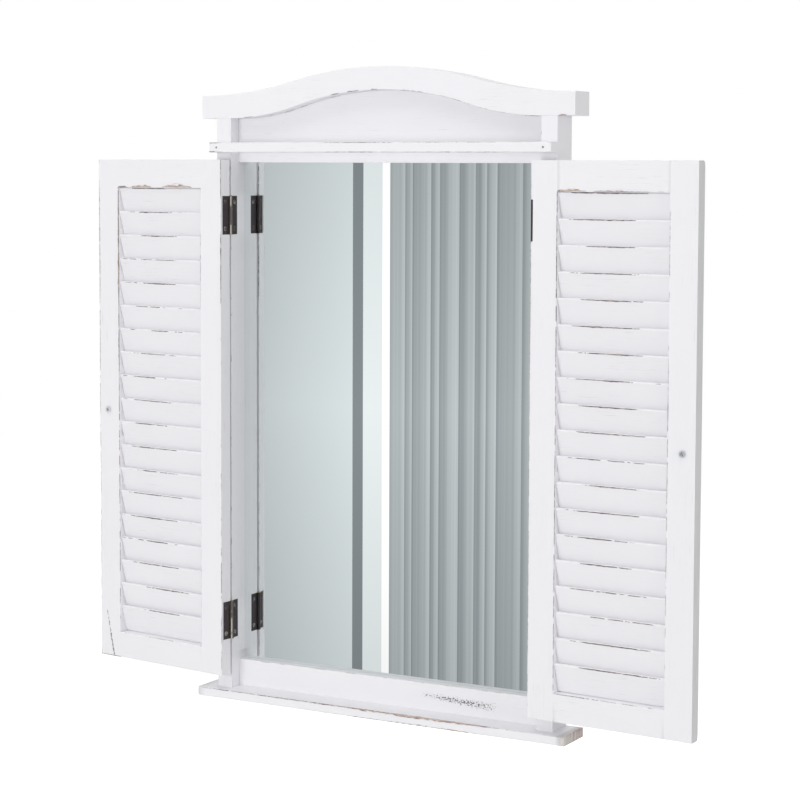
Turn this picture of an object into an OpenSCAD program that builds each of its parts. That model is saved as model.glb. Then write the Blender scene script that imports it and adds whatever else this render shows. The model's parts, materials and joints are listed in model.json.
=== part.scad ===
// Wall mirror made like a small window: a painted frame with an arched crown, a sill and
// two louvred shutters on butt hinges. Millimetres, +Z up, the viewer stands on the -Y side.
// The origin lies on the wall plane, midway between the two hanger holes.

/* [Frame] */
// Clear width between the two posts
inner_w = 383.5; // [320:0.5:460]
// Width of a post's front face
post_w = 18.5; // [17:0.5:24]
// Height of a post, from the sill to the crown board
post_h = 645; // [500:1:800]
// Depth of the posts and the crown board, front to wall
frame_d = 35; // [35:0.5:50]
// Thickness of the head board and the bottom rail
board_t = 10.5; // [8:0.5:11.5]
// How deep the ends of those two boards are let into the posts
housing = 5; // [3:0.5:6]
// Height of the bottom rail
rail_h = 30.5; // [26:0.5:45]
// How far the head board reaches down below the crown's ends
head_drop = 49; // [47:0.5:58]

/* [Crown] */
// How far the crown board reaches past each post
crown_overhang = 19.75; // [8:0.25:40]
// Height of the crown board at its ends
crown_end_h = 25; // [20:0.5:32]
// How far the top edge rises from its ends to the crest
crown_rise = 29.5; // [22:0.5:36]
// Radius of the crest on the top edge
crest_r = 440; // [400:5:500]
// How far the underside rises between the posts
arch_rise = 29.5; // [22:0.5:34]
// Radius of the arch's crest on the underside
arch_r = 350; // [320:5:380]

/* [Ledge and sill] */
// Height of the ledge batten
ledge_h = 11; // [8:0.5:14]
// How far the ledge stands out in front of the posts
ledge_d = 15.5; // [10:0.5:20]
// Distance from the crown's ends down to the top of the ledge
ledge_drop = 27; // [22:0.5:30]
// Radius on the ledge's two front edges
ledge_round = 1.2; // [0.5:0.1:3]
// How far the sill reaches past each post
sill_overhang = 19.25; // [8:0.25:40]
// Thickness of the sill
sill_t = 10; // [9:0.5:16]
// How far the sill stands out in front of the posts
sill_nose = 13.5; // [8:0.5:24]
// Radius on the sill's two front edges
sill_round = 1.2; // [0.5:0.1:4]

/* [Mirror] */
// Thickness of the mirror glass
glass_t = 3; // [2:0.5:4]
// Thickness of the backing board
backing_t = 3; // [2:0.5:4]
// How far the glass reaches behind the frame on every side
glass_lap = 5.5; // [4:0.5:7]
// Play round the glass in the posts' rebates
glass_play = 0.5; // [0.2:0.1:1]

/* [Shutters] */
// Thickness of a shutter
shutter_t = 15.5; // [14.8:0.1:16.5]
// Gap between the two closed shutters
meeting_gap = 1.5; // [1.5:0.1:3]
// Gap between the sill and the shutters' lower edges
shutter_lift = 17; // [8:0.5:24]
// Gap between the shutters' upper edges and the ledge
shutter_headroom = 8; // [3:0.5:10]
// Gap between a closed shutter and the boards behind it
stop_gap = 0.5; // [0.3:0.1:1]
// Width of a stile
stile_w = 31; // [26:0.5:36]
// Height of a shutter's top rail
top_rail_h = 31.5; // [26:0.5:40]
// Height of a shutter's bottom rail
bottom_rail_h = 30; // [26:0.5:40]
// Length of the rails' tenons
tenon_l = 14; // [8:0.5:16]
// Thickness of the rails' tenons
tenon_t = 5; // [4:0.5:6]
// Radius on the outer corner of the free edge
free_edge_r = 2; // [1:0.5:5]
// Opening angle of the left shutter as it stands
left_open = 188.4; // [100:0.1:188.4]
// Opening angle of the right shutter as it stands
right_open = 175.8; // [100:0.1:188.4]

/* [Louvres] */
// Wanted distance from slat to slat, rounded to fill the opening
slat_spacing = 27; // [24:0.5:30]
// Width of a slat along its slope
slat_w = 31.5; // [30:0.1:33]
// Thickness of a slat
slat_t = 4; // [3:0.1:4.4]
// Tilt of the slats from upright
slat_tilt = 15.5; // [12:0.5:16]
// How far the slats' top edges lie behind the inner face
slat_reveal = 2.2; // [1.5:0.1:2.6]
// Radius on the slats' long edges
slat_round = 1.2; // [0.5:0.1:1.4]
// Depth of the slanted grooves that hold the slats
groove_d = 4; // [3:0.5:8]

/* [Hinges] */
// Length of a hinge
hinge_l = 43; // [36:0.5:50]
// Width of one leaf, from the pin's axis
leaf_w = 14; // [12:0.5:14]
// Thickness of a leaf
leaf_t = 1.2; // [1:0.1:1.6]
// Distance from a shutter's end to the nearest hinge
hinge_inset = 40.5; // [34:0.5:80]
// Gap between a closed shutter and its post
hinge_gap = 1; // [1:0.1:1.5]
// How far the pin's axis lies in front of the posts
axis_out = 1.7; // [1.6:0.1:2]
// Diameter of the hinge pin
pin_d = 2.2; // [2:0.1:2.4]
// How far the wide right upper shutter leaf stops short of the shutter's inner face
wide_leaf_short = 0.2; // [0.1:0.1:1]
// Depth of that leaf's outer edge, which is folded over flush with the stile's edge
wide_leaf_hem = 1.8; // [1:0.1:3]
// Distance from a leaf's end to its screw
leaf_screw_inset = 6.5; // [5:0.5:8]

/* [Knobs] */
// Diameter of a knob
knob_d = 16; // [12:0.5:18]
// Height of a knob above the shutter's outer face
knob_h = 8.5; // [7:0.5:8.5]
// Distance from the free edge to the knob's centre
knob_inset = 14; // [12:0.5:18]
// Diameter of the knob screw's head
knob_head_d = 7.5; // [6:0.5:9]

/* [Hangers] */
// Length of a keyhole hanger plate
hanger_l = 36; // [34:0.5:39]
// Width of a keyhole hanger plate
hanger_w = 14; // [12:0.5:15]
// Thickness of a keyhole hanger plate
hanger_t = 1.5; // [1:0.1:2]
// Diameter of the hole that takes a wall screw's head
keyhole_d = 8; // [7:0.5:8.5]
// Width of the slot that holds the wall screw's shank
keyslot_w = 4.2; // [3.5:0.1:4.5]

/* [Hidden] */

// Fits: a glued or screwed wooden joint, a running pin, and a hinge knuckle in its notch
wood_fit = 0.1;
pin_fit = 0.05;
knuckle_fit = 0.3;
cut = 1; // how far a cutting shape runs past the face that it opens

// Fasteners
leaf_screw = [2.6, 5, 12]; // shank diameter, head diameter, length
hanger_screw = [2.4, 4.8, 10];
sill_screw = [3.5, 7, 38];
sill_screw_inset = 9; // from the frame's front and back faces
brad_d = 1.6;
brad_head_d = 2.4;
brad_l = 30;
pin_l = 14;
pin_bite = 8; // length of a backing pin inside the post
backing_pin_d = 1.4;
backing_pin_count = 4;
dowel_d = 6;
dowel_l = 26;
dowel_rows = [9, 20]; // distances from the frame's front face
knob_screw_d = 4;
knob_screw_bite = 5; // thread length inside the knob
knob_head_h = 2;
knob_head_slope = 0.75; // how far the pan head's side leans in

// Hanger plate, from its lower end
hanger_screw_inset = 4.5;
hanger_round = 2;
keyhole_up = 13;
keyslot_rise = 8.5;
hanger_margin = 2.5; // wood left above the plate
head_pocket_d = 8; // room behind the plate for a wall screw's head
pocket_play = 1;

// Heights, with the hanger holes at zero
hanger_foot = -keyhole_up;
post_top = hanger_foot + hanger_l + hanger_margin;
sill_top = post_top - post_h;
sill_z = sill_top - sill_t;
rail_top = sill_top + rail_h;
head_z = post_top - head_drop;
ledge_z = post_top - ledge_drop - ledge_h;
shutter_z = sill_top + shutter_lift;
shutter_h = ledge_z - shutter_headroom - shutter_z;

// Plan, measured from the wall plane
half_w = inner_w / 2;
outer_w = inner_w + 2 * post_w;
crown_l = outer_w + 2 * crown_overhang;
sill_l = outer_w + 2 * sill_overhang;
front_y = -frame_d;
board_y = front_y + shutter_t + stop_gap;
glass_y = board_y + board_t;
backing_y = glass_y + glass_t;
pin_y = backing_y + backing_t + backing_pin_d / 2;
rebate_w = glass_lap + glass_play;
post_mid = half_w + post_w / 2;
post_back_mid = half_w + (rebate_w + post_w) / 2;

// Shutter, seen from its hinge axis when closed: it runs to -X and lies behind the axis
axis_x = half_w - hinge_gap;
axis_y = front_y - axis_out;
shutter_w = half_w - hinge_gap - meeting_gap / 2;
opening_w = shutter_w - 2 * stile_w;
opening_z = shutter_z + bottom_rail_h;
opening_h = shutter_h - bottom_rail_h - top_rail_h;
outer_y = axis_out;
inner_y = axis_out + shutter_t;
middle_y = axis_out + shutter_t / 2;
tenon_shoulder = 5; // wood left above and below a tenon
mortise_t = tenon_t + 2 * wood_fit;

// Louvres: equal slats spread from the bottom rail to the top rail
slat_fall = slat_w * cos(slat_tilt); // height of a slat's inner face
slat_gap = 0.2; // between the end slats and the rails
slat_span = opening_h - slat_fall - slat_t * sin(slat_tilt) - 2 * slat_gap;
slat_count = 1 + round(slat_span / slat_spacing);
slat_pitch = slat_span / (slat_count - 1);

// Hinges
knuckle_r = hinge_gap + leaf_t;
knuckle_l = hinge_l / 3;
knuckle_play = 0.15; // between neighbouring knuckles
leaf_screw_y = leaf_w - 5.6; // 5.6 mm in from the leaf's long edge
wide_leaf_w = inner_y - wide_leaf_short;
wide_notch_w = inner_y + cut; // runs out through the inner face
pin_head_h = 0.8;
pin_head_inset = 0.2; // between the head's rim and the knuckle's
hinge_low = shutter_z + hinge_inset;
hinge_high = shutter_z + shutter_h - hinge_inset - hinge_l;

// Knob
knob_x = -shutter_w + knob_inset;
knob_z = shutter_z + shutter_h / 2;
knob_base_r = 4.5;
knob_neck_r = 3.4;
knob_base_h = 1.5;
knob_cap_h = 4.5;
knob_dome_r = 2;

arc_fn = 720; // sides of the crown's long arcs
arc_lap = 0.15;
round_fn = 48;

paint = [0.93, 0.93, 0.95];
bronze = [0.2, 0.17, 0.15];
brass = [0.66, 0.58, 0.42];
steel = [0.72, 0.72, 0.74];
silvering = [0.74, 0.8, 0.82];
fibreboard = [0.52, 0.4, 0.28];
beech = [0.78, 0.62, 0.42];

// ---- profiles ------------------------------------------------------------------------

// Region below an ogee edge that rises over |x| <= span: concave feet tangent to y = 0 and
// a convex crest of the given radius. It is filled down to y = -base. The feet are arc_lap
// larger than arcs that would just touch the crest, so that the arcs cross cleanly.
module ogee_region(span, rise, crest, base) {
    both = (span * span + rise * rise) / (2 * rise);
    foot = both - crest;
    turn_y = rise * foot / both;
    difference() {
        translate([-span, -base]) square([2 * span, base + turn_y]);
        for (side = [-1, 1])
            translate([side * span, foot + arc_lap]) circle(r = foot + arc_lap, $fn = arc_fn);
    }
    intersection() {
        translate([0, rise - crest]) circle(r = crest, $fn = arc_fn);
        translate([-span, -base]) square([2 * span, base + rise + cut]);
    }
}

// Rectangle whose two corners on the x = 0 side are rounded
module nosed_rect(size, r) {
    translate([r, 0]) square([size[0] - r, size[1]]);
    translate([0, r]) square([r, size[1] - 2 * r]);
    for (y = [r, size[1] - r])
        translate([r, y]) circle(r = r, $fn = round_fn);
}

// Rectangle centred on the origin with four rounded corners
module soft_rect(size, r) {
    square([size[0] - 2 * r, size[1]], center = true);
    square([size[0], size[1] - 2 * r], center = true);
    for (x = [-1, 1], y = [-1, 1])
        translate([x * (size[0] / 2 - r), y * (size[1] / 2 - r)]) circle(r = r, $fn = round_fn);
}

// Bar of length l centred on x = 0, from a profile drawn in the YZ plane
module bar_x(l) {
    translate([-l / 2, 0, 0]) rotate([90, 0, 90]) linear_extrude(l) children();
}

// Board of thickness t with its front at y = 0, from an outline drawn in the XZ plane
module board_xz(t) {
    translate([0, t, 0]) rotate([90, 0, 0]) linear_extrude(t) children();
}

// ---- placing -------------------------------------------------------------------------

module left() {
    mirror([1, 0, 0]) children();
}

module both_sides() {
    children();
    left() children();
}

// Puts a piece drawn from the hinge axis where the closed right shutter has it
module at_axis(z = 0) {
    translate([axis_x, axis_y, z]) children();
}

module right_swing() {
    at_axis() rotate(right_open) children();
}

module left_swing() {
    left() at_axis() rotate(left_open) children();
}

// ---- fasteners -----------------------------------------------------------------------

// Countersunk screw along +Z, its head's flat top at z = 0; play widens it into its hole
module countersunk(screw, play = 0) {
    shank_r = screw[0] / 2;
    head_r = screw[1] / 2;
    cylinder(r1 = head_r + play, r2 = shank_r + play, h = head_r - shank_r, $fn = round_fn);
    cylinder(r = shank_r + play, h = screw[2] + play, $fn = round_fn);
}

module dowel(play = 0) {
    translate([0, 0, -dowel_l / 2 - play])
        cylinder(d = dowel_d + 2 * play, h = dowel_l + 2 * play, $fn = round_fn);
}

// Brad along +Y with its head's face at y = 0
module brad(play = 0) {
    rotate([-90, 0, 0]) {
        cylinder(d = brad_head_d + 2 * play, h = brad_d, $fn = round_fn);
        cylinder(d = brad_d + 2 * play, h = brad_l + play, $fn = round_fn);
    }
}

module crown_dowel_pair(play = 0) {
    for (row = dowel_rows)
        translate([post_mid, front_y + row, post_top]) dowel(play);
}

module sill_screw_pair(play = 0) {
    for (y = [front_y + sill_screw_inset, -sill_screw_inset])
        translate([post_back_mid, y, sill_z]) countersunk(sill_screw, play);
}

module ledge_brad(play = 0) {
    translate([post_mid, front_y - ledge_d, ledge_z + ledge_h / 2]) brad(play);
}

module backing_pin_row(play = 0) {
    span = head_z - rail_top;
    end_x = half_w + rebate_w + pin_bite - pin_l;
    for (i = [0 : backing_pin_count - 1])
        translate([end_x, pin_y, rail_top + span * (i + 0.5) / backing_pin_count])
            rotate([0, 90, 0])
                cylinder(d = backing_pin_d + 2 * play, h = pin_l + play, $fn = round_fn);
}

// ---- hinge pieces, drawn from the axis on the post's side ------------------------------

module leaf_screw_pair(play = 0) {
    for (z = [leaf_screw_inset, hinge_l - leaf_screw_inset])
        translate([hinge_gap, leaf_screw_y, z]) rotate([0, 90, 0]) countersunk(leaf_screw, play);
}

// Notch that a leaf of width w and its knuckles need in the wood
module leaf_notch(w = leaf_w) {
    translate([-cut, -cut, -wood_fit])
        cube([cut + knuckle_r, cut + w + wood_fit, hinge_l + 2 * wood_fit]);
    barrel(knuckle_r + knuckle_fit, -wood_fit, hinge_l + 2 * wood_fit);
}

// Cylinder round the pin's axis
module barrel(r, z, l) {
    translate([0, 0, z]) cylinder(r = r, h = l, $fn = round_fn);
}

// A leaf of width w with knuckles where own lists their thirds, and room for the other leaf's
module hinge_leaf(own, other, w = leaf_w) {
    room_l = knuckle_l + 2 * knuckle_play;
    color(bronze) difference() {
        union() {
            difference() {
                translate([hinge_gap, 0, 0]) cube([leaf_t, w, hinge_l]);
                for (third = other)
                    barrel(knuckle_r + knuckle_fit, third * knuckle_l - knuckle_play, room_l);
            }
            for (third = own)
                barrel(knuckle_r, third * knuckle_l, knuckle_l);
        }
        barrel(pin_d / 2 + pin_fit, -cut, hinge_l + 2 * cut);
        leaf_screw_pair(wood_fit / 2);
    }
}

module frame_leaf() {
    hinge_leaf([0, 2], [1]);
}

module shutter_leaf(w = leaf_w) {
    mirror([1, 0, 0]) hinge_leaf([1], [0, 2], w);
}

// Pin with a low domed head on the upper knuckle
module hinge_pin() {
    color(brass) {
        barrel(pin_d / 2, 0, hinge_l);
        translate([0, 0, hinge_l])
            cylinder(r1 = knuckle_r - pin_head_inset, r2 = pin_d / 2, h = pin_head_h, $fn = round_fn);
    }
}

module frame_leaf_notches() {
    for (z = [hinge_low, hinge_high])
        at_axis(z) {
            leaf_notch();
            leaf_screw_pair(wood_fit / 2);
        }
}

// The two notches in a hinge stile; w is the width of the upper one
module shutter_leaf_notches(w) {
    for (notch = [[hinge_low, leaf_w], [hinge_high, w]])
        translate([0, 0, notch[0]]) mirror([1, 0, 0]) {
            leaf_notch(notch[1]);
            leaf_screw_pair(wood_fit / 2);
        }
}

// ---- frame ---------------------------------------------------------------------------

// Recess for a hanger plate, the pocket behind its keyhole and its screws' holes
module hanger_recess() {
    pocket_w = keyhole_d + pocket_play;
    pocket_foot = -keyhole_d / 2 - pocket_play;
    translate([post_mid, 0, 0]) {
        translate([-hanger_w / 2 - wood_fit, -hanger_t, hanger_foot - wood_fit])
            cube([hanger_w + 2 * wood_fit, hanger_t + cut, hanger_l + 2 * wood_fit]);
        translate([-pocket_w / 2, -hanger_t - head_pocket_d, pocket_foot])
            cube([pocket_w, head_pocket_d + cut, keyslot_rise - 2 * pocket_foot]);
    }
    hanger_screw_pair(wood_fit / 2);
}

module hanger_screw_pair(play = 0) {
    for (z = [hanger_foot + hanger_screw_inset, hanger_foot + hanger_l - hanger_screw_inset])
        translate([post_mid, 0, z]) rotate([90, 0, 0]) countersunk(hanger_screw, play);
}

module post() {
    color(paint) difference() {
        translate([half_w, front_y, sill_top]) cube([post_w, frame_d, post_h]);
        // housings for the ends of the bottom rail and the head board
        translate([half_w - cut, board_y - wood_fit, sill_top - cut])
            cube([housing + cut, board_t + wood_fit, rail_h + wood_fit + cut]);
        translate([half_w - cut, board_y - wood_fit, head_z - wood_fit])
            cube([housing + cut, board_t + wood_fit, head_drop + wood_fit + cut]);
        // rebate for the glass and its backing, stopped at both ends
        translate([half_w - cut, glass_y, rail_top - rebate_w])
            cube([rebate_w + cut, cut - glass_y, head_z - rail_top + 2 * rebate_w]);
        frame_leaf_notches();
        hanger_recess();
        crown_dowel_pair(wood_fit / 2);
        sill_screw_pair(wood_fit / 2);
        ledge_brad(wood_fit / 2);
        backing_pin_row(wood_fit / 2);
    }
}

module left_post() {
    left() post();
}

module right_post() {
    post();
}

module sill_board() {
    color(paint) difference() {
        bar_x(sill_l)
            translate([front_y - sill_nose, sill_z])
                nosed_rect([frame_d + sill_nose, sill_t], sill_round);
        both_sides() sill_screw_pair(wood_fit / 2);
    }
}

module bottom_rail() {
    color(paint)
        translate([-half_w - housing, board_y, sill_top])
            cube([inner_w + 2 * housing, board_t, rail_h]);
}

// The board's top edge follows the arch under the crown
module head_board() {
    half_l = half_w + housing;
    color(paint) translate([0, board_y, 0]) board_xz(board_t) {
        translate([0, post_top])
            ogee_region(half_w, arch_rise, arch_r, head_drop);
        translate([-half_l, head_z]) square([2 * half_l, head_drop]);
    }
}

module crown_board() {
    color(paint) difference() {
        translate([0, front_y, 0]) board_xz(frame_d) difference() {
            translate([0, post_top + crown_end_h])
                ogee_region(crown_l / 2, crown_rise, crest_r, crown_end_h);
            translate([0, post_top])
                ogee_region(half_w, arch_rise, arch_r, cut);
        }
        both_sides() crown_dowel_pair(wood_fit / 2);
    }
}

module ledge_batten() {
    color(paint) difference() {
        bar_x(outer_w)
            translate([front_y - ledge_d, ledge_z])
                nosed_rect([ledge_d, ledge_h], ledge_round);
        both_sides() ledge_brad(wood_fit / 2);
    }
}

module pane(y, t) {
    w = inner_w + 2 * glass_lap;
    translate([-w / 2, y, rail_top - glass_lap]) cube([w, t, head_z - rail_top + 2 * glass_lap]);
}

module mirror_glass() {
    color(silvering) pane(glass_y, glass_t);
}

module backing_board() {
    color(fibreboard) pane(backing_y, backing_t);
}

module backing_pins() {
    color(steel) both_sides() backing_pin_row();
}

module crown_dowels() {
    color(beech) both_sides() crown_dowel_pair();
}

module ledge_brads() {
    color(steel) both_sides() ledge_brad();
}

module sill_screws() {
    color(steel) both_sides() sill_screw_pair();
}

// Steel plate let in flush with the post's back, with a keyhole for a wall screw
module hanger() {
    color(steel) difference() {
        translate([post_mid, -hanger_t, 0]) board_xz(hanger_t) difference() {
            translate([0, hanger_foot + hanger_l / 2]) soft_rect([hanger_w, hanger_l], hanger_round);
            circle(d = keyhole_d, $fn = round_fn);
            translate([-keyslot_w / 2, 0]) square([keyslot_w, keyslot_rise]);
            translate([0, keyslot_rise]) circle(d = keyslot_w, $fn = round_fn);
        }
        hanger_screw_pair(wood_fit / 2);
    }
}

module left_hanger() {
    left() hanger();
}

module right_hanger() {
    hanger();
}

module hanger_screws() {
    color(steel) both_sides() hanger_screw_pair();
}

module left_upper_frame_leaf() {
    left() at_axis(hinge_high) frame_leaf();
}

module left_lower_frame_leaf() {
    left() at_axis(hinge_low) frame_leaf();
}

module right_upper_frame_leaf() {
    at_axis(hinge_high) frame_leaf();
}

module right_lower_frame_leaf() {
    at_axis(hinge_low) frame_leaf();
}

module left_upper_hinge_pin() {
    left() at_axis(hinge_high) hinge_pin();
}

module left_lower_hinge_pin() {
    left() at_axis(hinge_low) hinge_pin();
}

module right_upper_hinge_pin() {
    at_axis(hinge_high) hinge_pin();
}

module right_lower_hinge_pin() {
    at_axis(hinge_low) hinge_pin();
}

module frame_leaf_screws() {
    color(bronze) both_sides()
        for (z = [hinge_low, hinge_high])
            at_axis(z) leaf_screw_pair();
}

// ---- shutters, drawn closed from the hinge axis ----------------------------------------

// Slat profile in the plane across the stile; x runs from the outer face to the inner face
module slat_profile(play) {
    translate([inner_y - slat_reveal, 0])
        rotate(-slat_tilt)
            translate([-slat_t / 2, -slat_w / 2])
                soft_rect([slat_t + 2 * play, slat_w + 2 * play], slat_round + play);
}

// All the slats' profiles as bars that run from x0 over length l
module slat_bars(x0, l, play = 0) {
    low = opening_z + slat_gap + slat_fall;
    for (i = [0 : slat_count - 1])
        translate([x0, 0, low + i * slat_pitch])
            rotate([90, 0, 90]) linear_extrude(l) slat_profile(play);
}

module slats() {
    color(paint) slat_bars(-shutter_w + stile_w - groove_d, opening_w + 2 * groove_d);
}

// Mortises for the tenons of the bottom and the top rail, each from x over a tenon's length
module rail_mortises(x) {
    for (rail = [[shutter_z, bottom_rail_h], [shutter_z + shutter_h - top_rail_h, top_rail_h]])
        translate([x, middle_y - mortise_t / 2, rail[0] + tenon_shoulder - wood_fit])
            cube([tenon_l + cut, mortise_t, rail[1] - 2 * tenon_shoulder + 2 * wood_fit]);
}

module hinge_stile(upper_notch_w = leaf_w) {
    color(paint) difference() {
        translate([-stile_w, outer_y, shutter_z]) cube([stile_w, shutter_t, shutter_h]);
        rail_mortises(-stile_w - cut);
        slat_bars(-stile_w - cut, groove_d + cut, wood_fit);
        shutter_leaf_notches(upper_notch_w);
    }
}

module lock_stile() {
    free_x = -shutter_w;
    color(paint) difference() {
        translate([free_x, outer_y, shutter_z]) linear_extrude(shutter_h) {
            translate([free_edge_r, 0]) square([stile_w - free_edge_r, shutter_t]);
            translate([0, free_edge_r]) square([free_edge_r, shutter_t - free_edge_r]);
            translate([free_edge_r, free_edge_r]) circle(r = free_edge_r, $fn = round_fn);
        }
        rail_mortises(free_x + stile_w - tenon_l);
        slat_bars(free_x + stile_w - groove_d, groove_d + cut, wood_fit);
        translate([knob_x, outer_y - cut, knob_z]) rotate([-90, 0, 0])
            cylinder(d = knob_screw_d + wood_fit, h = shutter_t + 2 * cut, $fn = round_fn);
    }
}

// Rail of height h with its lower edge at z, and its two tenons
module shutter_rail(z, h) {
    color(paint) translate([-shutter_w + stile_w, 0, z]) {
        translate([0, outer_y, 0]) cube([opening_w, shutter_t, h]);
        translate([-tenon_l, middle_y - tenon_t / 2, tenon_shoulder])
            cube([opening_w + 2 * tenon_l, tenon_t, h - 2 * tenon_shoulder]);
    }
}

module top_rail() {
    shutter_rail(shutter_z + shutter_h - top_rail_h, top_rail_h);
}

module shutter_bottom_rail() {
    shutter_rail(shutter_z, bottom_rail_h);
}

module leaf_on_shutter(z, w = leaf_w) {
    translate([0, 0, z]) shutter_leaf(w);
}

module leaf_screws() {
    color(bronze)
        for (z = [hinge_low, hinge_high])
            translate([0, 0, z]) mirror([1, 0, 0]) leaf_screw_pair();
}

// Turned button knob on the outer face, bored for the screw that comes from the inner face
module knob() {
    rim_x = knob_d / 2 - knob_dome_r;
    rim_z = knob_h - knob_dome_r;
    color(bronze) translate([knob_x, outer_y, knob_z]) rotate([90, 0, 0]) difference() {
        rotate_extrude($fn = round_fn) {
            square([knob_base_r, knob_base_h]);
            square([knob_neck_r, rim_z]);
            translate([0, knob_h - knob_cap_h]) square([knob_d / 2, knob_cap_h - knob_dome_r]);
            translate([0, rim_z]) square([rim_x, knob_dome_r]);
            translate([rim_x, rim_z]) circle(r = knob_dome_r, $fn = round_fn);
        }
        translate([0, 0, -cut])
            cylinder(d = knob_screw_d + wood_fit, h = knob_screw_bite + cut + wood_fit, $fn = round_fn);
    }
}

// Machine screw with a low pan head on the inner face
module knob_screw() {
    head_r = knob_head_d / 2;
    color(steel) translate([knob_x, inner_y, knob_z]) rotate([90, 0, 0]) {
        translate([0, 0, -knob_head_h])
            cylinder(r1 = head_r - knob_head_slope, r2 = head_r, h = knob_head_h, $fn = round_fn);
        cylinder(d = knob_screw_d, h = shutter_t + knob_screw_bite, $fn = round_fn);
    }
}

module left_hinge_stile() {
    left_swing() hinge_stile();
}

module left_lock_stile() {
    left_swing() lock_stile();
}

module left_top_rail() {
    left_swing() top_rail();
}

module left_bottom_rail() {
    left_swing() shutter_bottom_rail();
}

module left_slats() {
    left_swing() slats();
}

module left_upper_shutter_leaf() {
    left_swing() leaf_on_shutter(hinge_high);
}

module left_lower_shutter_leaf() {
    left_swing() leaf_on_shutter(hinge_low);
}

module left_leaf_screws() {
    left_swing() leaf_screws();
}

module left_knob() {
    left_swing() knob();
}

module left_knob_screw() {
    left_swing() knob_screw();
}

module right_hinge_stile() {
    right_swing() hinge_stile(wide_notch_w);
}

module right_lock_stile() {
    right_swing() lock_stile();
}

module right_top_rail() {
    right_swing() top_rail();
}

module right_bottom_rail() {
    right_swing() shutter_bottom_rail();
}

module right_slats() {
    right_swing() slats();
}

module right_upper_shutter_leaf() {
    right_swing() union() {
        leaf_on_shutter(hinge_high, wide_leaf_w);
        color(bronze) translate([-knuckle_r, wide_leaf_w - wide_leaf_hem, hinge_high])
            cube([knuckle_r, wide_leaf_hem, hinge_l]);
    }
}

module right_lower_shutter_leaf() {
    right_swing() leaf_on_shutter(hinge_low);
}

module right_leaf_screws() {
    right_swing() leaf_screws();
}

module right_knob() {
    right_swing() knob();
}

module right_knob_screw() {
    right_swing() knob_screw();
}

left_post();
right_post();
sill_board();
bottom_rail();
mirror_glass();
backing_board();
backing_pins();
head_board();
crown_board();
crown_dowels();
ledge_batten();
ledge_brads();
sill_screws();
left_hanger();
right_hanger();
hanger_screws();
left_upper_frame_leaf();
left_lower_frame_leaf();
right_upper_frame_leaf();
right_lower_frame_leaf();
left_upper_hinge_pin();
left_lower_hinge_pin();
right_upper_hinge_pin();
right_lower_hinge_pin();
frame_leaf_screws();
left_hinge_stile();
left_lock_stile();
left_top_rail();
left_bottom_rail();
left_slats();
left_upper_shutter_leaf();
left_lower_shutter_leaf();
left_leaf_screws();
left_knob();
left_knob_screw();
right_hinge_stile();
right_lock_stile();
right_top_rail();
right_bottom_rail();
right_slats();
right_upper_shutter_leaf();
right_lower_shutter_leaf();
right_leaf_screws();
right_knob();
right_knob_screw();
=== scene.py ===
import json
import math
import random

import bmesh
import bpy
from mathutils import Matrix, Vector


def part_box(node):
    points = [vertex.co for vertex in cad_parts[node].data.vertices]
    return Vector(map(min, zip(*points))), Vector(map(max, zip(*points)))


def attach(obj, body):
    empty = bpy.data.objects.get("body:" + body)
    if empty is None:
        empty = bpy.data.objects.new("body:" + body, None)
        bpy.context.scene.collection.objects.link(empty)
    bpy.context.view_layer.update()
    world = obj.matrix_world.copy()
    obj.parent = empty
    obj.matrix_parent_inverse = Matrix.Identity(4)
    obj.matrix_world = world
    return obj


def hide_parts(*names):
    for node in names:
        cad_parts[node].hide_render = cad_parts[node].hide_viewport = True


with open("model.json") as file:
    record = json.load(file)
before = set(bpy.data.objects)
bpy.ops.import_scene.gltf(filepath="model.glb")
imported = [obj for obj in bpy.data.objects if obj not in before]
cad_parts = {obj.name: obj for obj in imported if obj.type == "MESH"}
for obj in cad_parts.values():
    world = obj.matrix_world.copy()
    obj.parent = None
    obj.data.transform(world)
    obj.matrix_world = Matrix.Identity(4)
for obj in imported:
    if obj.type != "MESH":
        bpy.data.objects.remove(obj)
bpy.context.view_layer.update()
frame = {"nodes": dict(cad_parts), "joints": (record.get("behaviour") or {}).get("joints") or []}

# ---- camera ------------------------------------------------------------------------------
# The photograph looks at the mirror from 29 degrees to its right and slightly from above,
# through a long lens that is shifted a little.

view_place = (1.1892, -2.1251, -0.0277)
view_turn = math.radians(29.11)
view_dip = math.radians(4.192)
view_roll = math.radians(0.203)
camera_data = bpy.data.cameras.new("camera")
camera_data.lens = 100.25
camera_data.shift_y = -0.0875
camera = bpy.data.objects.new("camera", camera_data)
camera.matrix_world = (
    Matrix.Translation(view_place)
    @ Matrix.Rotation(view_turn, 4, "Z")
    @ Matrix.Rotation(math.pi / 2 - view_dip, 4, "X")
    @ Matrix.Rotation(view_roll, 4, "Z")
)
bpy.context.scene.collection.objects.link(camera)
bpy.context.scene.camera = camera

# ---- sill --------------------------------------------------------------------------------
# A thin pine board with a nosed front edge, painted white and rubbed through along its
# front arrises. Both posts stand on it, and screws come up into them from below.

X, Y, Z = 0, 1, 2
in_place = Matrix.Identity(4)
on_face = 1e-5
eased = 0.0005


def worked_copy(node, home):
    """A merged copy of a node's solid in the board's own axes, with its flat faces joined."""
    shape = bmesh.new()
    shape.from_mesh(frame["nodes"][node].data)
    bmesh.ops.remove_doubles(shape, verts=shape.verts, dist=1e-6)
    bmesh.ops.transform(shape, matrix=home.inverted(), verts=shape.verts)
    flat = math.radians(0.4)
    bmesh.ops.dissolve_limit(shape, angle_limit=flat, verts=shape.verts, edges=shape.edges)
    return shape


def ends_of(verts):
    """Lowest and highest corner of the box round some vertices."""
    low = Vector(min(v.co[i] for v in verts) for i in range(3))
    high = Vector(max(v.co[i] for v in verts) for i in range(3))
    return low, high


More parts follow.
